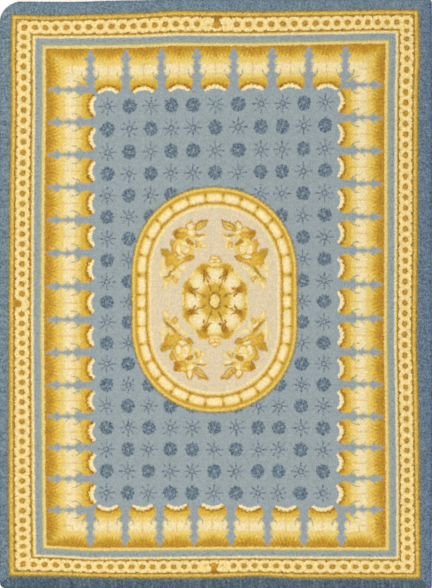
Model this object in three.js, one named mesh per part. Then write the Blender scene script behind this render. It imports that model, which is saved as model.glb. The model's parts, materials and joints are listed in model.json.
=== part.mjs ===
// A wool pile rug lying flat on a floor, in millimetres, +Z up. The foundation and the cut pile are
// one thing, so the rug is one solid: a flat underside, a rolled pile rim, rounded corners, sides that
// wander a little as woven sides do, and a top that is a little uneven.
import * as THREE from 'three';

// Driving dimensions
const WIDTH = 2000;
const LENGTH = 2725;
const PILE_TOP = 14;
const RIM_HEIGHT = 6;
const RIM_ROLL = 16;
const CELL = 56;

// Distances from a side of the rows of points that shape its rolled rim and its corners
const RIM_ROWS = [0, 1.5, 5, 10, 16, 34, 60];

// How far each side lies inside the straight one. `along` runs from the left on the ends and from the
// far end on the long sides.
const WANDER = {
  left: [
    { along: 0, inset: 7 },
    { along: 420, inset: 5 },
    { along: 900, inset: 3 },
    { along: 1400, inset: 0 },
    { along: 2100, inset: 1.5 },
    { along: 2725, inset: 5 },
  ],
  right: [
    { along: 0, inset: 4 },
    { along: 520, inset: 0 },
    { along: 1250, inset: 3 },
    { along: 1900, inset: 0 },
    { along: 2725, inset: 4 },
  ],
  far: [
    { along: 0, inset: 13 },
    { along: 300, inset: 15 },
    { along: 620, inset: 8 },
    { along: 820, inset: 2 },
    { along: 1250, inset: 4 },
    { along: 1700, inset: 0 },
    { along: 2000, inset: 2 },
  ],
  near: [
    { along: 0, inset: 9 },
    { along: 260, inset: 7 },
    { along: 720, inset: 2 },
    { along: 980, inset: 5 },
    { along: 1400, inset: 0 },
    { along: 2000, inset: 1 },
  ],
};

// Corner radii, by the side that each corner has along X and the end that it has along Y
const CORNER_RADIUS = {
  left: { far: 62, near: 38 },
  right: { far: 20, near: 26 },
};

// Long, low swells of the pile's top
const SWELLS = [
  { height: 0.55, acrossWave: 930, alongWave: 1480, phase: 0.6 },
  { height: 0.45, acrossWave: -610, alongWave: 870, phase: 2.1 },
  { height: 0.35, acrossWave: 420, alongWave: -540, phase: 4.4 },
];

// A value between the rows of a wander table, with a soft start and stop at each row
function insetAt(rows, along) {
  const next = Math.max(1, rows.findIndex((row) => row.along >= along));
  const a = rows[next - 1];
  const b = rows[next];
  const share = THREE.MathUtils.clamp((along - a.along) / (b.along - a.along), 0, 1);
  return a.inset + (b.inset - a.inset) * THREE.MathUtils.smoothstep(share, 0, 1);
}

// Grid lines across one direction: the rim's rows at both sides and even cells between them
function gridLines(size) {
  const half = size / 2;
  const inner = half - RIM_ROWS.at(-1);
  const cells = Math.round((2 * inner) / CELL);
  const low = RIM_ROWS.map((row) => row - half);
  const high = RIM_ROWS.map((row) => half - row).reverse();
  const middle = Array.from({ length: cells - 1 }, (_, i) => -inner + ((i + 1) * 2 * inner) / cells);
  return [...low, ...middle, ...high];
}

// Rounds the corner that a point is in. The corner's square is drawn onto a quarter disc, and `rim` is
// the distance to the nearest edge.
function roundCorner(x, y) {
  const radius = CORNER_RADIUS[x < 0 ? 'left' : 'right'][y < 0 ? 'near' : 'far'];
  const u = (Math.abs(x) - WIDTH / 2) / radius + 1;
  const v = (Math.abs(y) - LENGTH / 2) / radius + 1;
  if (u <= 0 || v <= 0) {
    return { x, y, rim: radius * (1 - Math.max(u, v)) };
  }
  const across = u * Math.sqrt(1 - (v * v) / 2);
  const along = v * Math.sqrt(1 - (u * u) / 2);
  return {
    x: Math.sign(x) * (WIDTH / 2 - radius * (1 - across)),
    y: Math.sign(y) * (LENGTH / 2 - radius * (1 - along)),
    rim: radius * (1 - Math.hypot(across, along)),
  };
}

// Draws a point in with the sides that it lies between
function wander(x, y) {
  const across = x / WIDTH + 0.5;
  const along = y / LENGTH + 0.5;
  const left = insetAt(WANDER.left, LENGTH / 2 - y);
  const right = insetAt(WANDER.right, LENGTH / 2 - y);
  const near = insetAt(WANDER.near, x + WIDTH / 2);
  const far = insetAt(WANDER.far, x + WIDTH / 2);
  return {
    x: x + left * (1 - across) - right * across,
    y: y + near * (1 - along) - far * along,
  };
}

// Height of the pile at a point: the rolled rim, then the top with its swells
function pileHeight(x, y, rim) {
  const rolled = THREE.MathUtils.clamp(rim / RIM_ROLL, 0, 1);
  const roll = Math.sqrt(1 - (1 - rolled) ** 2);
  const swell = SWELLS.reduce((sum, s) => {
    const angle = 2 * Math.PI * (x / s.acrossWave + y / s.alongWave) + s.phase;
    return sum + s.height * Math.sin(angle);
  }, 0);
  return RIM_HEIGHT + (PILE_TOP + swell - RIM_HEIGHT) * roll;
}

function rugGeometry() {
  const columns = gridLines(WIDTH);
  const rows = gridLines(LENGTH);
  const positions = [];
  const faces = [];
  for (const y of rows) {
    for (const x of columns) {
      const corner = roundCorner(x, y);
      const place = wander(corner.x, corner.y);
      positions.push(place.x, place.y, pileHeight(x, y, corner.rim));
    }
  }

  // The pile's top
  const point = (row, column) => row * columns.length + column;
  for (let row = 0; row + 1 < rows.length; row++) {
    for (let column = 0; column + 1 < columns.length; column++) {
      const a = point(row, column);
      const b = point(row, column + 1);
      const c = point(row + 1, column + 1);
      const d = point(row + 1, column);
      faces.push(a, b, c, a, c, d);
    }
  }

  // The edge of the top, once round from the near left corner, seen from above
  const lastRow = rows.length - 1;
  const lastColumn = columns.length - 1;
  const edge = [];
  for (let column = 0; column < lastColumn; column++) edge.push(point(0, column));
  for (let row = 0; row < lastRow; row++) edge.push(point(row, lastColumn));
  for (let column = lastColumn; column > 0; column--) edge.push(point(lastRow, column));
  for (let row = lastRow; row > 0; row--) edge.push(point(row, 0));

  // The upright edge of the foundation below it, down to the floor
  const foot = positions.length / 3;
  for (const at of edge) {
    positions.push(positions[3 * at], positions[3 * at + 1], 0);
  }
  edge.forEach((at, i) => {
    const next = (i + 1) % edge.length;
    faces.push(foot + i, foot + next, edge[next], foot + i, edge[next], at);
  });

  // The flat underside
  const outline = edge.map((at) => new THREE.Vector2(positions[3 * at], positions[3 * at + 1]));
  for (const [a, b, c] of THREE.ShapeUtils.triangulateShape(outline, [])) {
    faces.push(foot + a, foot + c, foot + b);
  }

  const geometry = new THREE.BufferGeometry();
  geometry.setAttribute('position', new THREE.Float32BufferAttribute(positions, 3));
  geometry.setIndex(faces);

  // The middle of the outline stands over the origin
  geometry.computeBoundingBox();
  const middle = geometry.boundingBox.getCenter(new THREE.Vector3());
  geometry.translate(-middle.x, -middle.y, 0);
  geometry.computeVertexNormals();
  return geometry;
}

const woolPile = new THREE.MeshStandardMaterial({ color: 0x8b9ca3, roughness: 0.95, metalness: 0 });

const rug = new THREE.Mesh(rugGeometry(), woolPile);
rug.name = 'rug';

const model = new THREE.Group();
model.add(rug);

export default model;
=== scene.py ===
import json
import math

import bmesh
import bpy
import numpy as np
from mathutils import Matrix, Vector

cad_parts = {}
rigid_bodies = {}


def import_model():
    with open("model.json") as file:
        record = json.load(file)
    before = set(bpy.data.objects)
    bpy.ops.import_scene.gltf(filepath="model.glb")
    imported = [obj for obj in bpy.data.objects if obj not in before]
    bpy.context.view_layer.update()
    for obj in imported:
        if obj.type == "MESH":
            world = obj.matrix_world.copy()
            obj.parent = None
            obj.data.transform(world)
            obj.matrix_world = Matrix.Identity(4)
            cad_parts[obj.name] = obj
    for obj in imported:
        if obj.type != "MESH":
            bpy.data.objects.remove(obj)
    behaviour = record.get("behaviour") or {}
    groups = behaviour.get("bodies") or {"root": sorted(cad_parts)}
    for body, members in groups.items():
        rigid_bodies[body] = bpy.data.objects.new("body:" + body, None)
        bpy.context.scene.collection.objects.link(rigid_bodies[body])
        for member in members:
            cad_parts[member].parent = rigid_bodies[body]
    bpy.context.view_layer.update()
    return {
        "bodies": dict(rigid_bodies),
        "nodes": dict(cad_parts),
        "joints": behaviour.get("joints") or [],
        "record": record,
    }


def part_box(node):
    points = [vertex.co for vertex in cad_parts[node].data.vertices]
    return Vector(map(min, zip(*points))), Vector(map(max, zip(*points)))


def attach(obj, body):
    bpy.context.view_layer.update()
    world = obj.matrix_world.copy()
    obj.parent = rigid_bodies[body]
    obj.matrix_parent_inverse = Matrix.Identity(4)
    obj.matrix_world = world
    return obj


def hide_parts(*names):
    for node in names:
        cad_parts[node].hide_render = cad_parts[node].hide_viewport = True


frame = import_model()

# Studio
# A plain pale floor, soft light from above and one side, and a camera that looks straight down at
# the rug from a stand, through a long lens.
rug_low, rug_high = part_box("rug")
RUG_WIDTH = rug_high[0] - rug_low[0]
RUG_LENGTH = rug_high[1] - rug_low[1]
KNOTS_ACROSS = 435
KNOT = RUG_WIDTH / KNOTS_ACROSS
KNOTS_ALONG = RUG_LENGTH / KNOT

VIEW_KNOTS = 588
VIEW_CENTRE = (0.7 * KNOT, 0.65 * KNOT)
LENS_MM = 85
SENSOR_MM = 36


def new_object(name, data):
    """An object of the scene, made of this data"""
    made = bpy.data.objects.new(name, data)
    bpy.context.collection.objects.link(made)
    return made


camera_data = bpy.data.cameras.new("stand_camera")
camera_data.lens = LENS_MM
camera_data.sensor_width = SENSOR_MM
camera = new_object("stand_camera", camera_data)
camera.location = (*VIEW_CENTRE, rug_high[2] + VIEW_KNOTS * KNOT * LENS_MM / SENSOR_MM)
bpy.context.scene.camera = camera
bpy.context.scene.view_settings.view_transform = "Standard"


def new_material(name):
    """A material, and the inputs of its shader"""
    made = bpy.data.materials.new(name)
    made.use_nodes = True
    return made, made.node_tree.nodes["Principled BSDF"].inputs


def srgb(red, green, blue):
    """A shade from 0 to 255, as one reads it, in the linear light that Blender counts in"""
    shares = [c / 255 for c in (red, green, blue)]
    return (*[s / 12.92 if s <= 0.04045 else ((s + 0.055) / 1.055) ** 2.4 for s in shares], 1.0)


FLOOR_SIZE = 12.0
FLOOR_GAP = 0.0005
floor_mesh = bmesh.new()
bmesh.ops.create_grid(floor_mesh, x_segments=1, y_segments=1, size=FLOOR_SIZE / 2)
floor_data = bpy.data.meshes.new("floor")
floor_mesh.to_mesh(floor_data)
floor_mesh.free()
floor = new_object("floor", floor_data)
floor.location.z = rug_low[2] - FLOOR_GAP
floor_paint, floor_look = new_material("floor_paint")
floor_look["Base Color"].default_value = srgb(250, 247, 240)
floor_look["Roughness"].default_value = 0.8
floor_data.materials.append(floor_paint)

SKY_STRENGTH = 0.40
sky = bpy.data.worlds.new("studio")
sky.use_nodes = True
sky.node_tree.nodes["Background"].inputs["Color"].default_value = (1.0, 1.0, 1.0, 1.0)
sky.node_tree.nodes["Background"].inputs["Strength"].default_value = SKY_STRENGTH
bpy.context.scene.world = sky
LIGHTS = [
    {"name": "key", "place": (-6.0, 6.6, 10.0), "size": 4.0, "power": 1250},
    {"name": "fill", "place": (1.0, -5.0, 5.0), "size": 4.0, "power": 188},
]
for light in LIGHTS:
    lamp = bpy.data.lights.new(light["name"], "AREA")
    lamp.size = light["size"]
    lamp.energy = light["power"]
    stand = new_object(light["name"], lamp)
    stand.location = light["place"]
    stand.rotation_euler = (-stand.location).to_track_quat("-Z", "Y").to_euler()

# The rug
# Wool pile knotted on a cotton foundation, made in one piece on the loom and lying flat. Its sides
# wander as hand-made sides do, its rim is rolled by the pile, and its top is a little uneven.
WIDTH = 2.000
LENGTH = 2.725
PILE_TOP = 0.014
RIM_HEIGHT = 0.006
RIM_ROLL = 0.016
RIM_ROWS = (0.0, 0.0015, 0.005, 0.010, 0.016)
CELL = 0.008
MM = 0.001

# How far each side lies inside the straight one, in millimetres, at places along it, which are
# counted from the left on the ends and from the far end on the long sides
WANDER = {
    "left": [(0, 7), (420, 5), (900, 3), (1400, 0), (2100, 1.5), (2725, 5)],
    "right": [(0, 4), (520, 0), (1250, 3), (1900, 0), (2725, 4)],
    "far": [(0, 13), (300, 15), (620, 8), (820, 2), (1250, 4), (1700, 0), (2000, 2)],
    "near": [(0, 9), (260, 7), (720, 2), (980, 5), (1400, 0), (2000, 1)],
}
CORNER_RADIUS = {
    ("left", "far"): 104,
    ("left", "near"): 38,
    ("right", "far"): 20,
    ("right", "near"): 26,
}

# Long, low swells of the whole rug, and the pile's own lumps and hollows, all in millimetres
SWELLS = [
    {"height": 0.55, "across": 930, "along": 1480, "phase": 0.6},
    {"height": 0.45, "across": -610, "along": 870, "phase": 2.1},
    {"height": 0.35, "across": 420, "along": -540, "phase": 4.4},
]
LUMPS = [
    {"height": 0.50, "size": 150, "seed": 3},
    {"height": 0.40, "size": 62, "seed": 5},
    {"height": 0.35, "size": 31, "seed": 8},
]


def grid_lines(size):
    """Places of the grid's lines across one direction: the rim's rows, and even cells between"""
    half = size / 2
    inner = half - RIM_ROWS[-1]
    cells = round(2 * inner / CELL)
    rim = np.array(RIM_ROWS)
    even = np.linspace(-inner, inner, cells + 1)[1:-1]
    return np.concatenate([rim - half, even, half - rim[::-1]])


def inset_at(side, along):
    """How far a side lies inside the straight one, with a soft start and stop at each row"""
    places, insets = np.array(WANDER[side]).T * MM
    row = np.clip(np.searchsorted(places, along), 1, len(places) - 1)
    share = np.clip((along - places[row - 1]) / (places[row] - places[row - 1]), 0, 1)
    soft = share * share * (3 - 2 * share)
    return insets[row - 1] + (insets[row] - insets[row - 1]) * soft


def lumps(x, y, height, size, seed):
    """A field of soft lumps about this far apart, made of many waves that run every way"""
    chance = np.random.default_rng(seed)
    total = np.zeros_like(x)
    waves = 14
    for turn in np.linspace(0, math.pi, waves, endpoint=False):
        turn = turn + chance.uniform(-0.1, 0.1)
        wave = size * MM * chance.uniform(0.75, 1.4)
        angle = 2 * math.pi * (x * math.cos(turn) + y * math.sin(turn)) / wave
        total = total + np.sin(angle + chance.uniform(0, 2 * math.pi))
    return total * height * MM * math.sqrt(2 / waves)


def rug_top():
    """The top's points, as a grid of rows from the near end with columns from the left"""
    x, y = np.meshgrid(grid_lines(WIDTH), grid_lines(LENGTH))
    radius = np.zeros_like(x)
    for (side, end), size in CORNER_RADIUS.items():
        radius[((x < 0) == (side == "left")) & ((y < 0) == (end == "near"))] = size * MM

    # A corner's square is drawn onto a quarter disc
    u = (abs(x) - WIDTH / 2) / radius + 1
    v = (abs(y) - LENGTH / 2) / radius + 1
    corner = (u > 0) & (v > 0)
    round_u = np.where(corner, u * np.sqrt(1 - np.where(corner, v, 0) ** 2 / 2), u)
    round_v = np.where(corner, v * np.sqrt(1 - np.where(corner, u, 0) ** 2 / 2), v)
    rim = radius * (1 - np.where(corner, np.hypot(round_u, round_v), np.maximum(u, v)))
    x = np.sign(x) * (WIDTH / 2 - radius * (1 - round_u))
    y = np.sign(y) * (LENGTH / 2 - radius * (1 - round_v))

    # The sides draw in the points between them
    across = x / WIDTH + 0.5
    along = y / LENGTH + 0.5
    left, right = (inset_at(side, LENGTH / 2 - y) for side in ("left", "right"))
    near, far = (inset_at(side, x + WIDTH / 2) for side in ("near", "far"))
    placed_x = x + left * (1 - across) - right * across
    placed_y = y + near * (1 - along) - far * along

    # The rim is rolled, and the swells and lumps fade out towards it
    roll = np.sqrt(1 - (1 - np.clip(rim / RIM_ROLL, 0, 1)) ** 2)
    uneven = sum(lumps(placed_x, placed_y, **lump) for lump in LUMPS)
    for swell in SWELLS:
        angle = 2 * math.pi * (placed_x / swell["across"] + placed_y / swell["along"]) / MM
        uneven = uneven + swell["height"] * MM * np.sin(angle + swell["phase"])
    height = RIM_HEIGHT + (PILE_TOP + uneven - RIM_HEIGHT) * roll
    points = np.stack([placed_x, placed_y, height], axis=-1)
    low, high = points.min(axis=(0, 1)), points.max(axis=(0, 1))
    middle = (np.array(rug_low) + np.array(rug_high)) / 2
    points[..., :2] += (middle - (low + high) / 2)[:2]
    return points


top = rug_top()
row_count, column_count = top.shape[:2]
top_index = np.arange(row_count * column_count).reshape(row_count, column_count)
near_left, near_right = top_index[:-1, :-1], top_index[:-1, 1:]
far_left, far_right = top_index[1:, :-1], top_index[1:, 1:]
faces = np.stack([near_left, near_right, far_right, far_left], axis=-1).reshape(-1, 4).tolist()

# The edge of the top, once round from the near left corner, and below it the foundation's overcast
# edge, drawn in under the pile
UNDERCUT = [{"height": 0.0035, "inset": 0.0012}, {"height": 0.0, "inset": 0.003}]
near_edge, right_edge = top_index[0, :-1], top_index[:-1, -1]
far_edge, left_edge = top_index[-1, :0:-1], top_index[:0:-1, 0]
edge = np.concatenate([near_edge, right_edge, far_edge, left_edge])
edge_points = top.reshape(-1, 3)[edge]
run = np.roll(edge_points, -1, axis=0) - np.roll(edge_points, 1, axis=0)
outwards = np.stack([run[:, 1], -run[:, 0]], axis=-1)
outwards /= np.linalg.norm(outwards, axis=1, keepdims=True)
points = [top.reshape(-1, 3)]
rings = [edge]
for step in UNDERCUT:
    ring_points = edge_points.copy()
    ring_points[:, :2] -= outwards * step["inset"]
    ring_points[:, 2] = rug_low[2] + step["height"]
    rings.append(sum(len(part) for part in points) + np.arange(len(edge)))
    points.append(ring_points)
for upper, lower in zip(rings, rings[1:]):
    next_upper, next_lower = np.roll(upper, -1), np.roll(lower, -1)
    faces += np.stack([lower, next_lower, next_upper, upper], axis=-1).tolist()

# The flat underside, in cells of so many of the top's
UNDER_STEP = 8
SHARP_ANGLE = math.radians(50)
last_row, last_column = row_count - 1, column_count - 1
row_breaks = [*range(0, last_row, UNDER_STEP), last_row]
column_breaks = [*range(0, last_column, UNDER_STEP), last_column]
foot_at = np.full(top_index.shape, -1)
foot_at.reshape(-1)[edge] = rings[-1]
inner = np.ix_(row_breaks[1:-1], column_breaks[1:-1])
inner_points = top[inner].reshape(-1, 3) * (1, 1, 0) + (0, 0, rug_low[2])
foot_at[inner] = (sum(len(part) for part in points) + np.arange(len(inner_points))).reshape(
    len(row_breaks) - 2, len(column_breaks) - 2
)
points = np.concatenate([*points, inner_points])


def along_side(start, end, on_edge):
    """The grid numbers from a cell's corner to its next: all on the rug's edge, else the first"""
    if not on_edge:
        return [start]
    return range(start, end, 1 if end > start else -1)


top_and_edge = len(faces)
for low_row, high_row in zip(row_breaks, row_breaks[1:]):
    for low_column, high_column in zip(column_breaks, column_breaks[1:]):
        on_right, on_far = high_column == last_column, high_row == last_row
        loop = [(low_row, i) for i in along_side(low_column, high_column, low_row == 0)]
        loop += [(i, high_column) for i in along_side(low_row, high_row, on_right)]
        loop += [(high_row, i) for i in along_side(high_column, low_column, on_far)]
        loop += [(i, low_column) for i in along_side(high_row, low_row, low_column == 0)]
        faces.append([int(foot_at[at]) for at in reversed(loop)])

rug_mesh = bpy.data.meshes.new("woven_rug")
rug_mesh.from_pydata(points, [], faces)
under = np.arange(len(faces)) >= top_and_edge
rug_mesh.polygons.foreach_set("use_smooth", ~under)
rug_mesh.polygons.foreach_set("material_index", under.astype(np.int32))
rug_mesh.set_sharp_from_angle(angle=SHARP_ANGLE)
woven_rug = new_object("woven_rug", rug_mesh)

# A map for the baked finish: the top, and beside it the underside and the narrow edge strips
BAKE_TOP = {"start": (0.01, 0.01), "size": (0.71, 0.98)}
BAKE_UNDER = {"start": (0.75, 0.01), "size": (0.24, 0.32)}
BAKE_EDGE = {"start": (0.76, 0.36), "size": (0.05, 0.62)}
STRIP_SHARE = 0.9
corner_points = np.empty(len(rug_mesh.loops), dtype=int)
rug_mesh.loops.foreach_get("vertex_index", corner_points)
share = (points[:, :2] / (WIDTH, LENGTH) + 0.5)[corner_points]
bake = np.array(BAKE_TOP["start"]) + share * BAKE_TOP["size"]
edge_start = rug_mesh.polygons[last_row * last_column].loop_start
under_start = rug_mesh.polygons[top_and_edge].loop_start
bake[under_start:] = np.array(BAKE_UNDER["start"]) + share[under_start:] * BAKE_UNDER["size"]
strip = []
for ring in range(len(UNDERCUT)):
    for at in range(len(edge)):
        strip += [(ring + STRIP_SHARE, end) for end in (at, at + 1)]
        strip += [(ring, end) for end in (at + 1, at)]
strip = np.array(strip) / (len(UNDERCUT), len(edge))
bake[edge_start:under_start] = np.array(BAKE_EDGE["start"]) + strip * BAKE_EDGE["size"]
bake_map = rug_mesh.uv_layers.new(name="OFBake")
bake_map.data.foreach_set("uv", bake.ravel())

# The weaver's chart
# The design is counted in knots, 435 across and 593 along, from the left side and the far end. A
# hand-made rug wanders, so each row is for one place along a side: the place, how far in the outer
# gold line is, how wide it is from there to the pale stripe, and how far in the shells' tips are.
SIDE_LINES = {
    "left": [
        (0, 13.9, 23.4, 98.9), (60, 12.5, 23.9, 98.5), (100, 13.1, 23.6, 98.1),
        (200, 11.5, 23.9, 96.8), (320, 10.7, 24.2, 96.1), (400, 10.4, 25.1, 96.8),
        (490, 10.0, 26.2, 98.3), (590, 10.9, 27.2, 98.9),
    ],
    "right": [
        (0, 14.0, 22.4, 94.7), (60, 13.1, 23.0, 94.8), (95, 14.5, 22.6, 94.8),
        (250, 15.0, 22.5, 94.8), (345, 16.1, 21.7, 95.0), (390, 14.6, 22.3, 95.1),
        (470, 13.3, 22.5, 96.1), (590, 12.1, 23.4, 96.5),
    ],
    "far": [
        (0, 15.7, 22.0, 95.5), (50, 17.1, 22.2, 95.3), (100, 15.7, 23.3, 94.8),
        (142, 14.6, 23.6, 94.3), (175, 12.0, 24.4, 92.7), (255, 13.0, 23.8, 91.7),
        (300, 12.5, 23.3, 90.9), (380, 11.1, 23.0, 91.7), (433, 11.3, 22.7, 91.7),
    ],
    "near": [
        (0, 15.1, 21.8, 85.3), (60, 14.8, 20.3, 85.4), (90, 13.5, 19.4, 85.5),
        (150, 12.7, 20.5, 86.1), (215, 13.0, 21.0, 87.3), (260, 14.8, 19.4, 85.1),
        (300, 12.6, 21.2, 85.1), (433, 12.6, 20.8, 84.7),
    ],
}
STRIPE_WIDTH = {"left": 7.1, "right": 7.0, "far": 7.1, "near": 6.3}

# Where the even chart has the same four lines, as depths from the side
LINE_DEPTH = 12.0
STRIPE_DEPTH = 35.8
SHELL_DEPTH = 43.0
TIP_DEPTH = 93.0

# Which pearl, and which stem between two shells, is at a place along each side
PEARL_PLACES = {
    "left": [(0, 29.5), (3, 57.4), (8, 111.6), (13, 164.6), (19, 225.9), (26, 295.5), (28, 315.6),
             (40, 433.1), (49, 522.4), (54, 565.3)],
    "right": [(0, 23.7), (3, 49.1), (7, 93.9), (20, 230.6), (33, 367.8), (40, 442.2), (48, 522.2),
              (53, 568.1)],
    "far": [(0, 26.6), (4, 68.5), (9, 125.0), (16, 199.3), (20, 239.0), (25, 296.7), (31, 360.5),
            (36, 408.9)],
    "near": [(0, 24.7), (4, 69.2), (9, 123.2), (16, 196.9), (20, 235.6), (26, 300.1), (31, 357.6),
             (36, 410.7)],
}
STEM_PLACES = {
    "left": [(1, 91.2), (5, 221.4), (8, 321.4), (10, 386.9), (14, 511.5)],
    "right": [(1, 86.4), (5, 218.2), (9, 353.9), (11, 418.0), (14, 511.0)],
    "far": [(1, 92.6), (4, 199.0), (5, 235.9), (6, 274.3), (8, 347.6)],
    "near": [(1, 92.7), (4, 196.4), (6, 269.8), (7, 306.1), (8, 343.7)],
}

# Where the field's columns of motifs stand at its two ends, and its rows at its two sides
MOTIF_COLUMNS = {
    "far": [(1, 109.9), (3, 153.4), (4, 173.2), (6, 217.6), (8, 263.6), (11, 327.5)],
    "near": [(1, 108.5), (2, 130.1), (3, 150.3), (8, 260.2), (9, 280.1), (11, 325.1)],
}
MOTIF_ROWS = {
    "left": [(1, 108.0), (3, 154.2), (9, 283.6), (11, 323.9), (15, 407.5), (19, 494.5)],
    "right": [(1, 103.9), (3, 150.1), (6, 216.8), (9, 282.3), (11, 323.5), (14, 386.2),
              (19, 495.0)],
}


def count_at(places, at):
    """How many pearls, stems or motifs have been counted at a place, the ends going on evenly"""
    count, where = np.array(places).T
    beyond = 10
    step = (where[-1] - where[0]) / (count[-1] - count[0])
    where = [where[0] - beyond * step, *where, where[-1] + beyond * step]
    return np.interp(at, where, [count[0] - beyond, *count, count[-1] + beyond])


def side_chart(side, along, inwards):
    """The even chart's depth, pearl and stem at points so far along a side and so far in from it"""
    places, *columns = np.array(SIDE_LINES[side]).T
    line, pearl_band, tips = (np.interp(along, places, column) for column in columns)
    stripe = line + pearl_band
    shell = stripe + STRIPE_WIDTH[side]
    depth = np.select(
        [inwards < line, inwards < stripe, inwards < shell],
        [
            LINE_DEPTH + inwards - line,
            LINE_DEPTH + (inwards - line) / (stripe - line) * (STRIPE_DEPTH - LINE_DEPTH),
            STRIPE_DEPTH + (inwards - stripe) / (shell - stripe) * (SHELL_DEPTH - STRIPE_DEPTH),
        ],
        SHELL_DEPTH + (inwards - shell) / (tips - shell) * (TIP_DEPTH - SHELL_DEPTH),
    )
    pearl = count_at(PEARL_PLACES[side], along)
    return np.stack([depth, pearl, count_at(STEM_PLACES[side], along)], axis=1)


def motif_chart(across, along):
    """The motif column and row at a place, as whole numbers at the motifs' middles"""
    top_row, bottom_row = (MOTIF_ROWS["left"][at][1] for at in (0, -1))
    first_column, last_column = (MOTIF_COLUMNS["far"][at][1] for at in (0, -1))
    down = (along - top_row) / (bottom_row - top_row)
    over = (across - first_column) / (last_column - first_column)
    far, near = (count_at(MOTIF_COLUMNS[end], across) for end in ("far", "near"))
    left, right = (count_at(MOTIF_ROWS[side], along) for side in ("left", "right"))
    column = far + (near - far) * down
    row = left + (right - left) * over
    return np.stack([column, row, np.zeros_like(row)], axis=1)


# The dyed wools
# Blues, golds and creams, each a skein dyed to one shade before the knotting, and read off. The
# far, right and near slates are the one slate with painted shade.
SLATE = srgb(115, 134, 145)
# Painted shade: copies of the slate, a little darker at the far end, darker on the right side and
# darkest at the near end
FAR_SLATE_PAINTED_SHADE = srgb(109, 129, 142)
RIGHT_SLATE_PAINTED_SHADE = srgb(99, 118, 137)
NEAR_SLATE_PAINTED_SHADE = srgb(80, 98, 111)
MIST = srgb(151, 162, 164)
DUSK = srgb(92, 111, 125)
INK = srgb(58, 74, 92)
STEM_BLUE = srgb(148, 159, 163)
STRIPE_BLUE = srgb(151, 162, 159)
UMBER = srgb(158, 112, 34)
OLIVE = srgb(158, 119, 40)
RUST = srgb(180, 121, 32)
OCHRE = srgb(188, 147, 42)
FRINGE = srgb(128, 124, 90)
SAGE = srgb(160, 160, 124)
BRONZE = srgb(186, 136, 38)
AMBER = srgb(203, 155, 44)
GOLD = srgb(217, 178, 66)
CORN = srgb(230, 199, 106)
STRAW = srgb(231, 206, 130)
PEARL = srgb(243, 217, 149)
CREAM = srgb(238, 219, 168)
IVORY = srgb(243, 226, 178)
SAND = srgb(222, 204, 168)


class Socket:
    """One output of a node. Arithmetic on it adds Math nodes to the tree that is being made."""

    tree = None

    def __init__(self, out):
        self.out = out

    @classmethod
    def node(cls, kind, settings, inputs, outputs=(0,)):
        """A new node, its settings made and its inputs filled, as the outputs that are asked for"""
        made = cls.tree.nodes.new(kind)
        for name, value in settings.items():
            if name == "stops":
                stops = made.color_ramp.elements
                while len(stops) < len(value):
                    stops.new(1.0)
                for stop, (position, colour) in zip(stops, value):
                    stop.position = position
                    stop.color = colour
            else:
                setattr(made, name, value)
        for name, value in inputs.items():
            if isinstance(value, Socket):
                cls.tree.links.new(value.out, made.inputs[name])
            else:
                made.inputs[name].default_value = value
        found = [cls(made.outputs[name]) for name in outputs]
        return found[0] if len(found) == 1 else found

    def __add__(self, other):
        return maths("ADD", self, other)

    __radd__ = __add__

    def __sub__(self, other):
        return maths("SUBTRACT", self, other)

    def __rsub__(self, other):
        return maths("SUBTRACT", other, self)

    def __mul__(self, other):
        return maths("MULTIPLY", self, other)

    __rmul__ = __mul__

    def __truediv__(self, other):
        return maths("DIVIDE", self, other)

    def __abs__(self):
        return maths("ABSOLUTE", self)


def maths(operation, *values):
    return Socket.node("ShaderNodeMath", {"operation": operation}, dict(enumerate(values)))


def vectors(operation, *values):
    return Socket.node("ShaderNodeVectorMath", {"operation": operation}, dict(enumerate(values)))


def length(vector):
    return Socket.node("ShaderNodeVectorMath", {"operation": "LENGTH"}, {0: vector}, (1,))


def join(x, y, z=0.0):
    return Socket.node("ShaderNodeCombineXYZ", {}, {0: x, 1: y, 2: z})


def split(vector):
    return Socket.node("ShaderNodeSeparateXYZ", {}, {0: vector}, (0, 1, 2))


def rise(value, start, end):
    """0 up to start, 1 from end on, and a straight slope between. It falls if end is the lower."""
    if isinstance(start, Socket) or isinstance(end, Socket):
        slope = (value - start) / (end - start)
    else:
        slope = maths("MULTIPLY_ADD", value, 1 / (end - start), start / (start - end))
    return Socket.node("ShaderNodeMix", {"data_type": "FLOAT"}, {0: slope, 3: 1.0})


def within(value, middle, none, full):
    """1 up to one distance from a middle and 0 from another on"""
    return rise(abs(value - middle), none, full)


def choose(mask, no, yes):
    return Socket.node("ShaderNodeMix", {"data_type": "VECTOR"}, {0: mask, 4: no, 5: yes}, (1,))


def paint(ground, wool, mask):
    """The ground with a wool laid over it where the mask is 1"""
    return Socket.node("ShaderNodeMix", {"data_type": "RGBA"}, {0: mask, 6: ground, 7: wool}, (2,))


def ramp(value, scale, stops):
    """Wools in bands, each stop at its own place along the value, out of the whole scale"""
    placed = [(position / scale, wool) for position, wool in stops]
    return Socket.node("ShaderNodeValToRGB", {"stops": placed}, {0: value / scale})


def profile(value, scale, stops):
    """A size that changes along the value, straight from stop to stop"""
    largest = max(size for _, size in stops)
    levels = [(position / scale, (size / largest,) * 4) for position, size in stops]
    inputs = {0: value / scale}
    return Socket.node("ShaderNodeValToRGB", {"stops": levels}, inputs, ("Alpha",)) * largest


def cloud(place, scale, detail=0.0, output=0):
    """Soft chance shading about a half, in patches this many to a unit of the place"""
    inputs = {"Vector": place, "Scale": scale, "Detail": detail}
    return Socket.node("ShaderNodeTexNoise", {"noise_dimensions": "2D"}, inputs, (output,))


def wavered(place, scale, amount):
    """Places moved about by chance, by up to half the amount, in patches this many to a knot"""
    noise = cloud(place, scale, output="Color")
    back = vectors("SUBTRACT", place, (amount / 2, amount / 2, 0.0))
    return vectors("MULTIPLY_ADD", noise, (amount, amount, 0.0), back)


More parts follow.
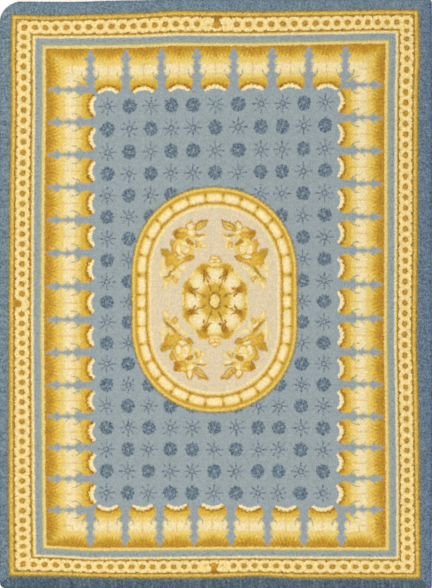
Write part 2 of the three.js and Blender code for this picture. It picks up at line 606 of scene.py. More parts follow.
def turned(place, centre, half, turn):
    """Places as seen from a leaf: moved to its centre, turned by its degrees, in its half sizes"""
    inputs = {
        "Vector": place,
        "Location": (*centre, 0.0),
        "Rotation": (0.0, 0.0, math.radians(turn)),
        "Scale": (*half, 1.0),
    }
    return Socket.node("ShaderNodeMapping", {"vector_type": "TEXTURE"}, inputs)


def least(a, b):
    return maths("MINIMUM", a, b)


def most(a, b):
    return maths("MAXIMUM", a, b)


def under(value, limit):
    """1 where the value is under the limit, with an edge one knot wide"""
    return rise(value - limit, 0.5, -0.5)


def from_whole(value):
    """How far a count is from the nearest whole number, from -0.5 to 0.5"""
    return maths("FRACT", value + 0.5) - 0.5


# Borders
# Bands of plain wool run round the rug, knotted in rows with the rest: a slate edge, a gold line, a
# band of pearls between dark lines, a pale stripe between cream lines, and the shells' own band.
CHART_DEPTH = 100
BORDER_WOOLS = [
    # The gold line, with the slate beside it
    (11.6, FRINGE), (12.6, FRINGE), (13.5, AMBER), (14.3, GOLD), (15.2, CORN), (15.8, CORN),
    # The dark lines, and the notches between the pearls
    (16.6, BRONZE), (17.2, OLIVE), (32.8, OLIVE), (33.4, BRONZE),
    # The pale stripe between its cream lines
    (34.1, GOLD), (34.8, PEARL), (35.4, CREAM), (35.8, CREAM), (37.2, STRIPE_BLUE),
    (41.0, STRIPE_BLUE), (43.2, SAGE), (45.0, STRAW), (46.0, STRAW), (46.8, CORN), (47.6, OCHRE),
    # The blue of the stems, and the field
    (48.2, STEM_BLUE), (88.0, STEM_BLUE), (96.0, MIST),
]
GOLD_LINE_MIDDLE = 15.0
STRIPE_MIDDLE = 39.0


def borders(depth, edge, speck):
    wool = ramp(depth, CHART_DEPTH, BORDER_WOOLS)
    knotted = within(depth, GOLD_LINE_MIDDLE, 2.4, 1.2) * rise(speck, 0.45, 0.65)
    wool = paint(wool, AMBER, knotted * 0.75)
    flecked = within(depth, STRIPE_MIDDLE, 2.4, 1.4) * rise(speck, 0.46, 0.62)
    wool = paint(wool, DUSK, flecked * 0.3)
    return paint(edge, wool, rise(depth, 9.6, LINE_DEPTH))


# Pearls: rounded cream pearls that touch, each with a gold disc on it. The dark lines fill the
# notches between them.
PEARL_DEPTH = 25.1
PEARL_STEP = 10.2
PEARL_HALF_WIDTH = 6.9
DISC_RADIUS = 3.5
MIDDLE_PEARL = 18
ODD_PEARL = 27
BELL_TOP = 17.0
BELL_LENGTH = 20
BELL_HALF_WIDTHS = [
    (0.0, 6.0), (1.6, 5.2), (3.2, 3.0), (5.6, 2.8), (8.2, 4.6), (10.2, 5.4), (11.6, 3.4),
    (12.6, 0.0),
]
TASSEL_ASIDE = 8.7
TASSEL_DEPTH = 26.3
HALF_DISC_DEPTH = 20.6
HALF_DISC_RADIUS = 4.0


def pearls(ground, depth, pearl, on_long, on_left, speck):
    along = from_whole(pearl)
    across = depth - PEARL_DEPTH
    square = along * along
    wide = PEARL_HALF_WIDTH - 30 * square * square
    wool = paint(PEARL, CORN, rise(speck, 0.52, 0.72) * 0.8)
    wool = paint(wool, IVORY, rise(speck, 0.44, 0.28) * 0.8)
    wool = paint(ground, wool, rise(abs(across) - wide, 0.5, -0.5))
    from_middle = length(join(along * PEARL_STEP, across))

    # The ends' middle pearls are plain, and the long left side's middle one is a half disc
    count = pearl - MIDDLE_PEARL
    plain = under(abs(count) * 10, 16) * (1 - on_long)
    odd = under(abs(pearl - ODD_PEARL) * 10, 5) * on_left
    shown = (1 - plain) * (1 - odd)
    wool = paint(wool, CORN, rise(from_middle, 4.6, 3.4) * 0.45 * shown)
    disc = rise(from_middle, DISC_RADIUS, DISC_RADIUS - 1.2) * shown
    wool = paint(wool, paint(paint(BRONZE, AMBER, speck), OLIVE, rise(from_middle, 1.2, 2.4)), disc)

    # A small bell hangs from the outer line at the middle of each end, with a tassel on either side
    drop = depth - BELL_TOP
    aside = abs(count) * PEARL_STEP
    half_wide = profile(drop, BELL_LENGTH, BELL_HALF_WIDTHS)
    bell = rise(aside - half_wide, 0.6, -0.6) * (1 - on_long)
    trim = rise(abs(aside - half_wide + 0.8), 1.2, 0.4)
    trimmed = paint(UMBER, AMBER, rise(drop, 1, 9))
    bell_wool = paint(trimmed, OLIVE, most(trim, rise(speck, 0.55, 0.7)) * 0.8)
    wool = paint(wool, bell_wool, bell)
    tassel = length(join(aside - TASSEL_ASIDE, (depth - TASSEL_DEPTH) * 1.3))
    tassel = rise(tassel, 2.4, 1.2) * (1 - on_long)
    wool = paint(wool, AMBER, tassel * 0.7)

    # The long left side's odd pearl has a half disc against the outer line
    half_disc = length(join((pearl - ODD_PEARL) * PEARL_STEP, (depth - HALF_DISC_DEPTH) * 0.9))
    return paint(wool, BRONZE, under(half_disc, HALF_DISC_RADIUS) * on_left)


# Shells: fanned gold shells side by side, with scalloped cream lips towards the field. Blue stems
# part them, each with a bead, a lozenge and a pair of thin curled twigs.
STEM_STEP_LONG = 32.3
STEM_STEP_END = 36.3
LAST_STEM_LONG = 14
LAST_STEM_END = 8
STEM_HEAD = 49
STEM_HALF_WIDTHS = [
    # The head
    (48.4, 0.0), (49.6, 1.3), (52.0, 1.7), (54.5, 1.9), (56.5, 3.2), (58.2, 4.8), (60.0, 2.7),
    (61.5, 1.3),
    # The bead
    (63.5, 1.1), (65.2, 1.4), (67.0, 2.2), (70.0, 2.1), (72.5, 1.4), (74.2, 1.8),
    # The lozenge, and the foot in the field
    (75.6, 3.8), (76.8, 5.2), (78.2, 4.6), (80.0, 3.7), (82.0, 3.3), (87.0, 3.5), (90.0, 4.4),
    (92.0, 6.0), (94.0, 9.0),
]
SHELL_WOOLS = [
    # From the dark hinge up to the light crest
    (49.0, BRONZE), (53.0, OCHRE), (54.6, AMBER), (57.4, GOLD), (60.6, CORN), (63.0, CORN),
    (64.6, STRAW), (66.4, CREAM), (73.4, CREAM),
    # And down to the shade behind the lip
    (75.2, STRAW), (78.0, STRAW), (79.4, CORN), (81.2, GOLD), (83.2, GOLD), (84.8, AMBER),
    (86.0, BRONZE),
]
RING_PITCH = 3.3
SCALLOP_PITCH = 4.0
LIP_DEPTH = 86.3
LIP_EDGE = 91.0
TWIG_RADIUS = 5.4
THORN_RADIUS = 3.3


def shells(ground, depth, stem, on_long, speck):
    step = STEM_STEP_END + (STEM_STEP_LONG - STEM_STEP_END) * on_long
    from_stem = abs(from_whole(stem)) * step
    from_fold = step * 0.5 - from_stem
    last = LAST_STEM_END + (LAST_STEM_LONG - LAST_STEM_END) * on_long
    inside = rise(abs(stem - (last + 1) * 0.5) * step, last * step * 0.5, last * step * 0.5 - 1)

    # Half the stem's width at each depth
    wide = profile(depth, CHART_DEPTH, STEM_HALF_WIDTHS)
    wide = wide + (1 - on_long) * (0.7 * rise(depth, 49, 52) + 0.6 * within(depth, 67, 9, 6))
    ragged = cloud(join(stem * 40, depth), 0.5) - 0.5
    blue = rise(from_stem - wide - ragged * 1.5, 0.8, -0.8) * inside

    # The shell's colours fall in streaks and rings about the stem's head, and then follow the lip
    bend = from_fold * from_fold * (0.041 + 0.01 * on_long)
    from_head = length(join(from_stem, (depth - STEM_HEAD) * 0.8))
    ring = maths("COSINE", from_head * (2 * math.pi / RING_PITCH)) * rise(from_head, 4, 7)
    streak = cloud(join(stem * 12, depth * 0.18), 1.0, 2.0) - 0.5
    fleck = speck - 0.5
    upper = rise(depth, 66, 57)
    tone = depth + upper * (streak * 5.5 + ring * 1.7 + from_fold * 0.18 - 1.0) + fleck * 5 + streak
    tone = tone - bend * 0.6 * rise(depth, 81, 89)
    wool = ramp(tone, CHART_DEPTH, SHELL_WOOLS)
    scorch = rise(speck, 0.44, 0.64) * rise(depth + from_fold * 0.5, 58, 51)
    wool = paint(wool, RUST, scorch * 0.75)
    rib = rise(from_fold, 1.0, 0.2) * within(depth, 73, 12, 8)
    wool = paint(wool, AMBER, rib * 0.45)
    scallop = maths("COSINE", from_fold * (2 * math.pi / SCALLOP_PITCH)) * 0.45
    lip = depth - bend - scallop + fleck * 2
    shadow = within(lip, 85.5, 1.7, 0.5) * rise(from_fold, -5, 8)
    wool = paint(wool, UMBER, shadow)
    wool = paint(wool, paint(CORN, IVORY, rise(lip, 86.9, 88.6)), rise(lip, LIP_DEPTH, 87.0))
    outline = rise(abs(from_stem - wide - 0.6), 1.3, 0.4) * within(depth, 68, 16, 12)
    wool = paint(wool, SAGE, outline * 0.35)
    shell = rise(depth, 46.8, 47.5) * rise(depth - bend, LIP_EDGE, 90.2) * (1 - blue)
    wool = paint(ground, wool, shell)

    # The curled twigs, and a smaller pair of thorns above them
    twig = length(join((from_stem - 4) / 4.6, (depth - 72.5) / 7.0)) * TWIG_RADIUS
    twig = within(twig, TWIG_RADIUS, 0.9, 0.3) * rise(depth, 70.6, 72.0) * rise(from_stem, 3.5, 4.5)
    thorn = length(join(from_stem - 1.4, depth - 66.0))
    thorn = within(thorn, THORN_RADIUS, 0.8, 0.2) * rise(depth, 65.2, 66.2)
    thorn = thorn * rise(from_stem, 1.5, 2.5)
    return paint(wool, DUSK, most(twig, thorn * 0.7) * inside * 0.6)


# Field: pale blue wool with rows of small motifs knotted in a darker blue, in turn a star of eight
# rays and a round flower of eight petals.
COLUMN_STEP = 21.8
ROW_STEP = 21.48
MIDDLE_COLUMN = 6.5
STAR_RING = 2.4
RAY_MIDDLE = 6.3
RAYS = 8
FLOWER_RADIUS = 7.3
FIELD_DEPTH = 93


def field_motifs(ground, depth, motif, speck):
    column, row, _ = split(motif)
    whole = maths("FLOOR", column + 0.5)
    inner = within(whole, MIDDLE_COLUMN, 2.0, 1.9)
    count = whole + maths("FLOOR", row + 0.5) + inner
    rosette = rise(maths("FRACT", count * 0.5), 0.2, 0.3)
    x = from_whole(column) * COLUMN_STEP
    y = from_whole(row) * ROW_STEP
    radius = length(join(x, y))
    turn = maths("ARCTAN2", y, x)
    off_ray = abs(from_whole(turn * (RAYS / 2 / math.pi)))

    rough = speck - 0.5
    ring = within(radius, STAR_RING, 1.2, 0.4)
    on_axis = 1 - rise(least(abs(x), abs(y)), 1.0, 2.0)
    ray = rise(off_ray * radius, 1.2, 0.3) * within(radius, RAY_MIDDLE, 3.2, 2.0)
    star = most(ring, ray * (0.85 + 0.25 * on_axis + rough * 1.6))

    edge = FLOWER_RADIUS - 1.6 * off_ray + rough * 3.4
    flower = rise(radius - edge, 0.6, -0.6) * (1 - 0.75 * rise(radius, 1.9, 0.9))
    slit = rise(off_ray + rough * 0.2, 0.30, 0.46) * within(radius, 3.8, 2.4, 1.2)
    flower = flower * (1 - 0.5 * slit - 0.4 * rise(rough, 0.08, 0.2))
    mask = star * 0.85 + (flower - star * 0.85) * rosette
    return paint(ground, DUSK, mask * rise(depth, FIELD_DEPTH, FIELD_DEPTH + 2))


# Medallion: an oval of sand-coloured wool, longer than it is wide, in a gold frame that holds a
# string of long cream beads with dark pins between them.
MEDALLION_CENTRE = (-0.9, -5.1, 0.0)
MEDALLION_HALF = 82.3
STRAIGHT_HALF = 25.3
END_SQUEEZE = 0.946
ROUNDNESS = 2.1
BEAD_LENGTH = 18.7
END_BEADS = 6.52
BEAD_MIDDLE = 9.9
PIN_INWARDS = 6.8
FRAME_WIDTH = 24
FRAME_WOOLS = [
    # The outer gold cord
    (0.0, AMBER), (0.7, GOLD), (1.3, CORN), (2.0, CORN), (2.8, GOLD), (3.6, AMBER), (4.6, AMBER),
    # The ground of the beads
    (5.6, GOLD), (6.8, CORN), (12.0, CORN),
    # The dark inner line, the cream line and the sand ground
    (13.0, AMBER), (13.9, BRONZE), (14.9, BRONZE), (15.8, GOLD), (16.8, STRAW), (17.8, CREAM),
    (18.8, CREAM), (19.8, SAND),
]


def medallion(ground, place, speck):
    x, y, _ = split(place)
    wide = abs(x)
    tall = abs(y)
    end = most(tall - STRAIGHT_HALF, 0.0) * END_SQUEEZE
    reach = maths("POWER", wide, ROUNDNESS) + maths("POWER", end, ROUNDNESS)
    inwards = MEDALLION_HALF - maths("POWER", reach, 1 / ROUNDNESS)
    frame = ramp(inwards, FRAME_WIDTH, FRAME_WOOLS)
    around = (least(abs(y + 1.8), STRAIGHT_HALF) - 7) / BEAD_LENGTH
    around = around + maths("ARCTAN2", end, wide) * (END_BEADS * 2 / math.pi)
    notch = abs(from_whole(around)) * BEAD_LENGTH
    across = abs(inwards - BEAD_MIDDLE)
    bead = rise(notch - across * across * 0.12, 0.2, 3.0) * rise(across, 4.6, 2.4)
    inner = rise(notch, 2.0, 5.0) * rise(across, 3.2, 0.6)
    frame = paint(frame, paint(PEARL, IVORY, inner * (1.6 - speck)), bead)
    pin = rise(length(join(notch, (inwards - PIN_INWARDS) * 0.7)), 2.0, 0.7)
    frame = paint(frame, OLIVE, pin)
    pin = rise(notch, 1.3, 0.3) * rise(across, 5.0, 3.6)
    frame = paint(frame, AMBER, pin * 0.5)
    wool = paint(ground, FRINGE, rise(inwards, -2.6, -0.6) * 0.75)
    return paint(wool, frame, rise(inwards, -0.6, 0.4))


# Rosette: eight cream lobes in a scalloped gold rim, forked veins between them, and a ribbed gold
# heart with a cream eye in it.
ROSETTE_CENTRE = (-0.4, -6.4, 0.0)
ROSETTE_HALF = (36.0, 41.0, 1.0)
ROSETTE_KNOTS = 38
LOBES = 8
LOBE_TURN = 2 * math.pi / LOBES
CROWN_OUT = 38.8
RIM_OUT = 34.8
GAP_WIDTHS = [(14, 1.2), (21, 1.2), (24, 2.2), (27, 3.6), (30, 5.2), (34, 6.6)]
HEART_OUT = 13.6
EYE_HALF = (4.4, 6.6, 1.0)


def rosette(ground, place):
    place = wavered(place, 0.22, 2.2)
    flat = vectors("DIVIDE", place, ROSETTE_HALF)
    u, v, _ = split(flat)
    out = length(flat) * ROSETTE_KNOTS
    petal = abs(from_whole(maths("ARCTAN2", v, u) * (1 / LOBE_TURN)))
    aside = petal * out * LOBE_TURN
    from_vein = (0.5 - petal) * out * LOBE_TURN
    tall = rise(abs(v), 0.15, 0.75)
    mottle = cloud(place, 0.35, 1.0)

    # A crown of two curls at each end
    crown_out = out - CROWN_OUT + aside * 0.12
    crown = length(join((aside - 2.2) / 4.6, crown_out / 3.8)) + 3 * rise(abs(u), 0.24, 0.30)
    crown = crown + 3 * rise(abs(v), 0.84, 0.80)
    wool = paint(ground, AMBER, rise(crown, 1.12, 0.88))
    wool = paint(wool, PEARL, rise(crown, 0.84, 0.62))
    cleft = rise(abs(crown_out + 1.0 - aside * 0.5), 1.2, 0.4) * rise(crown, 0.9, 0.7)
    wool = paint(wool, AMBER, cleft * 0.8)

    # The rim, with a cream curl over each lobe
    edge = out - petal * petal * (3 + 12 * tall) - RIM_OUT
    wool = paint(wool, CORN, rise(edge, 1.0, 0.0))
    wool = paint(wool, paint(OCHRE, GOLD, rise(mottle, 0.35, 0.6)), rise(edge, 0.2, -1.2))
    curl = rise(abs(edge + 1.2), 1.8, 0.6) * rise(petal, 0.26, 0.12)
    wool = paint(wool, PEARL, curl * 0.9)
    wool = paint(wool, AMBER, rise(abs(edge + 3.4), 1.1, 0.3) * rise(petal, 0.30, 0.20) * 0.7)
    dark = rise(petal, 0.20, 0.42) * rise(out, 20, 28) * rise(edge, -0.6, -2.4)
    wool = paint(wool, paint(AMBER, BRONZE, mottle), dark * 0.8)

    # The lobes, in the shape of fans that nearly touch
    gap = profile(out, 40, GAP_WIDTHS)
    lobe = least(from_vein - gap, 30.2 + 5.5 * abs(u * v) - out - 10 * petal * petal)
    lobe = least(lobe, (out - 15.2 - 1.8 * tall) * 0.7) + (mottle - 0.5) * 2
    wool = paint(wool, CORN, rise(lobe, -1.8, -0.4))
    wool = paint(wool, STRAW, rise(lobe, -0.8, 0.8))
    wool = paint(wool, CREAM, rise(lobe, 0.6, 2.4))
    wool = paint(wool, IVORY, rise(lobe, 2.6, 5.0) * 0.7)

    # The heart with its ribs, and the dark dots in it
    heart = HEART_OUT + 2.8 * tall
    rib = maths("COSINE", petal * (8 * math.pi)) * 0.5 + 0.5
    ray = out - heart - rib * 3.2
    wool = paint(wool, CORN, rise(ray, 1.8, 0.4))
    wool = paint(wool, GOLD, rise(ray, 0.4, -1.0))
    wool = paint(wool, AMBER, rise(rib, 0.55, 0.15) * rise(out - heart, 2.0, 0.0) * 0.8)
    wool = paint(wool, OCHRE, rise(out, 11, 8) * 0.5)
    dot = rise(length(join(from_vein, (out - 13.2) * 0.5)), 2.1, 1.1)
    wool = paint(wool, OLIVE, dot * 0.85)

    # Forked veins between the lobes
    vein = rise(from_vein, 1.1, 0.4) * within(out, 20.0, 6.0, 4.6) * 0.8
    fork = abs(from_vein - (28.6 - out) * 0.5)
    vein = most(vein, rise(fork, 1.5, 0.6) * within(out, 24.4, 4.2, 3.2))
    knob = rise(length(join(from_vein, (out - 27.6) * 0.7)), 3.4, 2.0)
    vein = most(vein, knob)
    wool = paint(wool, paint(UMBER, RUST, rise(mottle, 0.40, 0.60)), vein)

    # The cream eye in its dark ring
    eye = length(vectors("DIVIDE", place, EYE_HALF))
    wool = paint(wool, OLIVE, rise(eye, 1.52, 1.28))
    return paint(wool, paint(CORN, PEARL, rise(mottle, 0.36, 0.56)), rise(eye, 1.12, 0.88))


# Sprays: four alike, turned over from side to side and from end to end, each of a rose with buds,
# and leaves below it on a curved twig.
def leaf(ground, place, centre, half, turn, point, rim, heart, vein=None):
    """
    A leaf or petal, turned by so many degrees, from an oval with a point of 0 to a lens with one
    of 1. It is darker at its base, and it may have a vein.
    """
    u, v, _ = split(turned(place, centre, half, turn))
    side = abs(v)
    inside = 1 - u * u - side * (point + (1 - point) * side)
    soft = 1.0 / min(half)
    wool = paint(ground, rim, rise(inside, -soft * 0.7, soft))
    lit = inside - u * 0.16 + v * 0.22
    rim_width = min(0.42, 1.5 / min(half))
    wool = paint(wool, heart, rise(lit, rim_width, rim_width + soft * 1.4))
    if vein:
        line = rise(side * half[1], 1.0, 0.3) * rise(abs(u + 0.15), 0.75, 0.55)
        wool = paint(wool, vein, line * 0.7)
    return wool


# Each form's centre and half sizes in knots, its turn in degrees, its point, and its wools
SPRAY = [
    # The upper bud with its stalk and petals
    ((13.4, 61.8), (5.0, 2.8), -14, 0.4, STRAW, IVORY),
    ((9.4, 66.4), (3.2, 1.8), 12, 0.3, CORN, CREAM),
    ((17.4, 64.6), (9.8, 1.4), -3, 1, OCHRE, OLIVE),
    ((27.6, 67.4), (9.6, 5.4), 8, 0, GOLD, CORN),
    ((36.0, 66.6), (6.2, 5.2), 110, 0.4, BRONZE, RUST),
    ((24.6, 73.8), (6.2, 4.0), 97, 0.3, AMBER, CREAM),
    ((19.6, 69.8), (4.8, 3.2), 120, 0.4, CORN, IVORY),
    ((14.0, 74.2), (10.4, 4.4), 143, 0.9, BRONZE, CORN, OLIVE),
    ((31.0, 69.0), (6.4, 3.6), 12, 0.3, AMBER, CORN),
    ((31.4, 64.2), (6.6, 3.0), -10, 0.5, AMBER, GOLD),
    ((23.8, 67.0), (3.8, 3.2), 0, 0, CORN, IVORY),
    # The small bud towards the middle
    ((13.4, 55.2), (5.2, 3.8), 24, 0.4, CORN, CREAM),
    ((16.0, 54.4), (4.2, 3.2), 60, 0.4, AMBER, CORN),
    ((17.2, 50.6), (4.0, 1.9), -24, 0.6, STRAW, IVORY),
    # The rose between its sepals
    ((41.0, 54.8), (6.2, 3.6), 80, 0.4, AMBER, CREAM),
    ((24.4, 60.8), (5.0, 3.2), 30, 0.5, CORN, STRAW),
    ((32.2, 51.6), (11.4, 9.8), 20, 0, AMBER, CORN),
    ((35.6, 50.6), (6.8, 4.6), 78, 0.3, GOLD, IVORY),
    ((30.0, 55.4), (5.6, 3.6), 24, 0.2, CORN, IVORY),
    ((28.4, 49.4), (5.4, 4.4), -36, 0.2, GOLD, CREAM),
    ((31.8, 51.8), (3.2, 2.6), 10, 0, CORN, PEARL),
    ((24.8, 57.6), (5.2, 2.8), 38, 0.5, BRONZE, BRONZE),
    # Leaves below the rose
    ((51.6, 37.6), (4.8, 2.6), 84, 0.4, STRAW, IVORY),
    ((47.4, 46.0), (8.6, 4.8), 42, 0.7, OCHRE, AMBER, OLIVE),
    ((25.4, 41.4), (6.6, 3.0), -24, 0.8, BRONZE, AMBER),
    ((40.2, 42.2), (5.6, 4.0), 104, 0.4, AMBER, CORN),
    ((33.4, 42.6), (7.2, 3.4), -14, 0.4, AMBER, CREAM),
    ((34.0, 37.4), (8.4, 2.8), -26, 0.6, AMBER, CORN),
    ((42.6, 37.4), (9.0, 6.6), 60, 0.2, AMBER, GOLD),
    ((51.6, 31.8), (5.8, 3.2), 96, 0.4, STRAW, CREAM),
    ((44.6, 37.4), (4.2, 3.6), 30, 0.2, AMBER, GOLD),
    ((42.6, 32.0), (5.2, 4.2), 60, 0.2, AMBER, CORN),
    # The twig and its leaves
    ((52.4, 26.0), (4.6, 2.6), 80, 0.4, STRAW, IVORY),
    ((42.0, 24.0), (9.4, 4.8), 74, 0.2, STRAW, CREAM),
    ((31.6, 31.2), (6.4, 2.6), -34, 0.5, STRAW, IVORY),
    ((36.4, 26.4), (5.6, 2.8), 64, 0.5, STRAW, CREAM),
    ((39.6, 20.8), (4.4, 2.8), 66, 0.5, AMBER, CORN),
    ((48.8, 15.2), (6.8, 3.4), 106, 0.6, CORN, CREAM),
    ((44.6, 26.4), (11.6, 2.0), 132, 0.8, OCHRE, OLIVE),
    ((45.4, 20.8), (4.2, 2.6), 150, 0.4, GOLD, STRAW),
]


def sprays(ground, place):
    folded = vectors("ABSOLUTE", wavered(place, 0.16, 3.0))
    wool = ground
    for one in SPRAY:
        wool = leaf(wool, folded, *one)
    return wool


def whole_design(place, left, right, far, near, motif):
    """The wool's colour at a place, in knots from the rug's middle, with its charts' readings"""
    on_left = rise(split(right)[0] - split(left)[0], -0.01, 0.01)
    on_far = rise(split(near)[0] - split(far)[0], -0.01, 0.01)
    long_side = choose(on_left, right, left)
    end_side = choose(on_far, near, far)
    on_long = rise(split(end_side)[0] - split(long_side)[0], -0.01, 0.01)
    depth, pearl, stem = split(choose(on_long, end_side, long_side))
    # The edge's slate with painted shade by side: lightest on the left, darker at the far end, on
    # the right and at the near end
    long_slate_painted_shade = paint(RIGHT_SLATE_PAINTED_SHADE, SLATE, on_left)
    end_slate_painted_shade = paint(NEAR_SLATE_PAINTED_SHADE, FAR_SLATE_PAINTED_SHADE, on_far)
    x, y, _ = split(place)
    streak = cloud(join(x + (y - x) * on_long, depth * 0.16), 0.45, 2.0)
    near_share = (1 - on_long) * (1 - on_far)
    slate = paint(end_slate_painted_shade, long_slate_painted_shade, on_long)
    streaky = rise(streak, 0.48, 0.75) * (0.14 + 0.5 * near_share + 0.34 * on_left * on_long)
    slate = paint(slate, INK, streaky)
    slate = paint(slate, STRIPE_BLUE, rise(streak, 0.46, 0.2) * 0.3)
    speck = cloud(place, 0.42, 1.0)
    wool = borders(depth, slate, speck)
    band = within(depth, PEARL_DEPTH, 9.0, 8.0)
    wool = paint(wool, pearls(wool, depth, pearl, on_long, on_left * on_long, speck), band)
    wool = shells(wool, depth, stem, on_long, speck)
    wool = field_motifs(wool, depth, motif, speck)
    from_middle = vectors("SUBTRACT", place, MEDALLION_CENTRE)
    wool = medallion(wool, from_middle, speck)
    wool = sprays(wool, from_middle)
    return rosette(wool, vectors("SUBTRACT", place, ROSETTE_CENTRE))


# The pile
# Each knot is one tuft of one colour, tied on the foundation and cut. Its tips stand a little
# unevenly and lean their own way, and no two knots take the dye quite alike.
TUFT_WAVER = 1.4
KNOT_STRAY = 0.9


def knot_tufts(place):
    """The middle of the knot at each place, in knots, with its edges a little irregular"""
    waver = vectors("SUBTRACT", cloud(place, 0.55, 1.0, "Color"), (0.5, 0.5, 0.5))
    moved = vectors("MULTIPLY_ADD", waver, (TUFT_WAVER, TUFT_WAVER, 0.0), place)
    return moved, vectors("ADD", vectors("FLOOR", moved), (0.5, 0.5, 0.0))


def feed(inputs, name, socket):
    Socket.tree.links.new(socket.out, inputs[name])


wool_pile, wool_look = new_material("wool_pile")
Socket.tree = wool_pile.node_tree
wool_look["Sheen Weight"].default_value = 0.1
wool_look["Sheen Roughness"].default_value = 0.5
wool_look["Specular IOR Level"].default_value = 0.2
object_place = Socket.node("ShaderNodeTexCoord", {}, {}, ("Object",))
exact_place = vectors("MULTIPLY", object_place, (1 / KNOT, 1 / KNOT, 0.0))
tuft_place, knot = knot_tufts(exact_place)
flat_noise = {"noise_dimensions": "2D"}
chance = Socket.node("ShaderNodeTexWhiteNoise", flat_noise, {"Vector": knot}, ("Color",))
aside = vectors("SUBTRACT", chance, (0.5, 0.5, 0.0))
read_place = vectors("MULTIPLY_ADD", aside, (KNOT_STRAY, KNOT_STRAY, 0.0), knot)
own_dye = split(chance)[2]
step_right, step_far, _ = split(vectors("SUBTRACT", read_place, exact_place))

# How each chart's reading changes with one knot to the right, and with one towards the far end
READING_STEPS = {
    "left": ((1.0, 0.0, 0.0), (0.0, -1 / 10.0, -1 / 32.5)),
    "right": ((-1.0, 0.0, 0.0), (0.0, -1 / 10.3, -1 / 32.5)),
    "far": ((0.0, 1 / 10.5, 1 / 36.0), (-1.0, 0.0, 0.0)),
    "near": ((0.0, 1 / 10.5, 1 / 36.0), (1.0, 0.0, 0.0)),
    "motif": ((1 / COLUMN_STEP, 0.0, 0.0), (0.0, -1 / ROW_STEP, 0.0)),
}
readings = {}
for chart, (to_right, to_far) in READING_STEPS.items():
    reading = Socket.node("ShaderNodeAttribute", {"attribute_name": chart}, {}, ("Vector",))
    reading = vectors("MULTIPLY_ADD", step_right, to_right, reading)
    readings[chart] = vectors("MULTIPLY_ADD", step_far, to_far, reading)
design = whole_design(read_place, **readings)

# Each knot's own dye, longer streaks of it along the weft, and painted shade between the tufts
streak_place = vectors("MULTIPLY", knot, (0.02, 0.11, 0.0))
streak = cloud(streak_place, 5.0, 2.0)
from_tuft = length(vectors("SUBTRACT", tuft_place, knot))
light = Socket.node("ShaderNodeRGBToBW", {}, {0: design})
unevenness = 0.21 + 0.69 * rise(light, 0.36, 0.16)
dye_and_painted_shade = 0.98 + (own_dye - 0.5) * unevenness + (streak - 0.5) * 0.10
# Painted shade: each knot darker towards its edges, between the tufts
dye_and_painted_shade = dye_and_painted_shade - 0.14 * rise(from_tuft, 0.3, 0.7)
feed(wool_look, "Base Color", vectors("MULTIPLY", design, dye_and_painted_shade))
wool_look["Roughness"].default_value = 0.95

fibres = cloud(exact_place, 2.6, 2.0)
clumps = cloud(exact_place, 0.35, 1.0)
relief = clumps * 1.2 + own_dye * 0.25 + fibres * 0.5 - from_tuft * 0.7
bump = {"Strength": 0.7, "Distance": 0.002, "Height": relief}
feed(wool_look, "Normal", Socket.node("ShaderNodeBump", {}, bump))

# The charts of the four sides and of the field, read at each point of the mesh
place_in_knots = np.empty(len(rug_mesh.vertices) * 3)
rug_mesh.vertices.foreach_get("co", place_in_knots)
right_of_middle, far_of_middle, _ = place_in_knots.reshape(-1, 3).T / KNOT
across = right_of_middle + KNOTS_ACROSS / 2
along = KNOTS_ALONG / 2 - far_of_middle
charts = {
    "left": side_chart("left", along, across),
    "right": side_chart("right", along, KNOTS_ACROSS - across),
    "far": side_chart("far", across, along),
    "near": side_chart("near", across, KNOTS_ALONG - along),
    "motif": motif_chart(across, along),
}
for name, reading in charts.items():
    attribute = rug_mesh.attributes.new(name, "FLOAT_VECTOR", "POINT")
    attribute.data.foreach_set("vector", reading.astype(np.float32).ravel())

# The underside
# The plain weave of the cotton foundation that the knots are tied on, its threads over and under
# each other. It lies on the floor.
foundation, foundation_look = new_material("cotton_foundation")
Socket.tree = foundation.node_tree
THREADS_PER_METRE = 430
thread_place = Socket.node("ShaderNodeTexCoord", {}, {}, ("Object",))
thread = vectors("MULTIPLY", thread_place, (THREADS_PER_METRE, THREADS_PER_METRE, 0.0))
warp, weft, _ = split(thread)
over = maths("COSINE", warp * math.pi) * maths("COSINE", weft * math.pi)
slub = cloud(thread, 0.2, 3.0)
# Painted shade: the ecru is lighter on the raised threads and darker where the weave dips, and
# slubs vary its tone at random
ecru_with_weave_shade = paint(srgb(196, 180, 148), srgb(226, 214, 188), rise(over + slub - 0.5, -0.9, 0.9))
feed(foundation_look, "Base Color", ecru_with_weave_shade)
foundation_look["Roughness"].default_value = 0.9
weave = {"Strength": 0.5, "Distance": 0.0008, "Height": over * 0.5 + slub * 0.6}
feed(foundation_look, "Normal", Socket.node("ShaderNodeBump", {}, weave))

rug_mesh.materials.append(wool_pile)
rug_mesh.materials.append(foundation)
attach(woven_rug, "root")
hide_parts("rug")

# Rim tufts
# The outermost tufts of the wool pile, which splay over the rug's edge. Geometry Nodes scatter them
# over the rim of a copy of the rug, so each one carries its place in the charts with it.
RIM_CELLS = 3
TUFTS = {
    "Spacing": 0.0036,
    "Tuft Length": 0.0042,
    "Tuft Radius": 0.0019,
    "Tip Radius": 0.0011,
    "Sunk": 0.0016,
    "Spread": 0.35,
}
TUFTS_PER_SQUARE_METRE = 90000.0
rim_mesh = rug_mesh.copy()
rim_mesh.uv_layers.remove(rim_mesh.uv_layers["OFBake"])
on_rim = np.zeros((row_count - 1, column_count - 1), dtype=bool)
for cells in (on_rim, on_rim.T):
    cells[:RIM_CELLS] = True
    cells[-RIM_CELLS:] = True
rim_faces = rim_mesh.attributes.new("rim", "BOOLEAN", "FACE")
rim_faces.data.foreach_set("value", [*on_rim.ravel(), *[False] * (len(faces) - on_rim.size)])

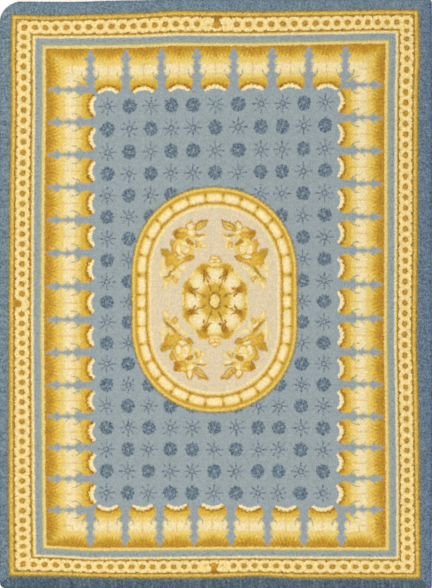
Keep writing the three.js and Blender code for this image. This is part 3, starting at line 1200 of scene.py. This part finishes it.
tuft_tree = bpy.data.node_groups.new("rim_tufts", "GeometryNodeTree")
tuft_tree.interface.new_socket("Geometry", in_out="INPUT", socket_type="NodeSocketGeometry")
number = {"in_out": "INPUT", "socket_type": "NodeSocketFloat"}
tuft_inputs = {name: tuft_tree.interface.new_socket(name, **number).identifier for name in TUFTS}
tuft_tree.interface.new_socket("Geometry", in_out="OUTPUT", socket_type="NodeSocketGeometry")
Socket.tree = tuft_tree
rug_copy, spacing, tuft_length, tuft_radius, tip_radius, sunk, spread = Socket.node(
    "NodeGroupInput", {}, {}, ("Geometry", *TUFTS)
)
yes_or_no = {"data_type": "BOOLEAN"}
rim_share = Socket.node(
    "GeometryNodeInputNamedAttribute", yes_or_no, {"Name": "rim"}, ("Attribute",)
)
scatter = {
    "Mesh": rug_copy,
    "Selection": rim_share,
    "Distance Min": spacing,
    "Density Max": TUFTS_PER_SQUARE_METRE,
    "Seed": 4,
}
evenly = {"distribute_method": "POISSON"}
scattered, pile_normal = Socket.node(
    "GeometryNodeDistributePointsOnFaces", evenly, scatter, ("Points", "Normal")
)
cone = {"Vertices": 5, "Radius Top": tip_radius, "Radius Bottom": tuft_radius, "Depth": tuft_length}
one_tuft = Socket.node("GeometryNodeMeshCone", {}, cone)
down = {"Geometry": one_tuft, "Translation": join(0.0, 0.0, sunk * -1.0)}
one_tuft = Socket.node("GeometryNodeTransform", {}, down)
any_way = {"Min": (-1.0, -1.0, -1.0), "Max": (1.0, 1.0, 1.0), "Seed": 7}
any_way = Socket.node("FunctionNodeRandomValue", {"data_type": "FLOAT_VECTOR"}, any_way)
astray = Socket.node("ShaderNodeVectorMath", {"operation": "SCALE"}, {0: any_way, "Scale": spread})
lean = vectors("ADD", pile_normal, astray)
turn = Socket.node("FunctionNodeAlignRotationToVector", {"axis": "Z"}, {"Vector": lean})
fullness = {"Min": (0.8, 0.8, 0.7), "Max": (1.15, 1.15, 1.2), "Seed": 9}
fullness = Socket.node("FunctionNodeRandomValue", {"data_type": "FLOAT_VECTOR"}, fullness)
set_out = {"Points": scattered, "Instance": one_tuft, "Rotation": turn, "Scale": fullness}
tufts = Socket.node("GeometryNodeInstanceOnPoints", {}, set_out)
tufts = Socket.node("GeometryNodeRealizeInstances", {}, {"Geometry": tufts})
tufts = Socket.node("GeometryNodeSetMaterial", {}, {"Geometry": tufts, "Material": wool_pile})
Socket.node("NodeGroupOutput", {}, {"Geometry": tufts}, ())

rim_tufts = new_object("rim_tufts", rim_mesh)
tuft_maker = rim_tufts.modifiers.new("rim_tufts", "NODES")
tuft_maker.node_group = tuft_tree
for name, size in TUFTS.items():
    tuft_maker[tuft_inputs[name]] = size
settled = rim_tufts.evaluated_get(bpy.context.evaluated_depsgraph_get())
tuft_mesh = bpy.data.meshes.new_from_object(settled)
rim_tufts.modifiers.clear()
rim_tufts.data = tuft_mesh
bpy.data.meshes.remove(rim_mesh)
tuft_mesh.materials.clear()
tuft_mesh.materials.append(wool_pile)
tuft_mesh.polygons.foreach_set("material_index", [0] * len(tuft_mesh.polygons))
tuft_mesh.polygons.foreach_set("use_smooth", [True] * len(tuft_mesh.polygons))
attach(rim_tufts, "root")
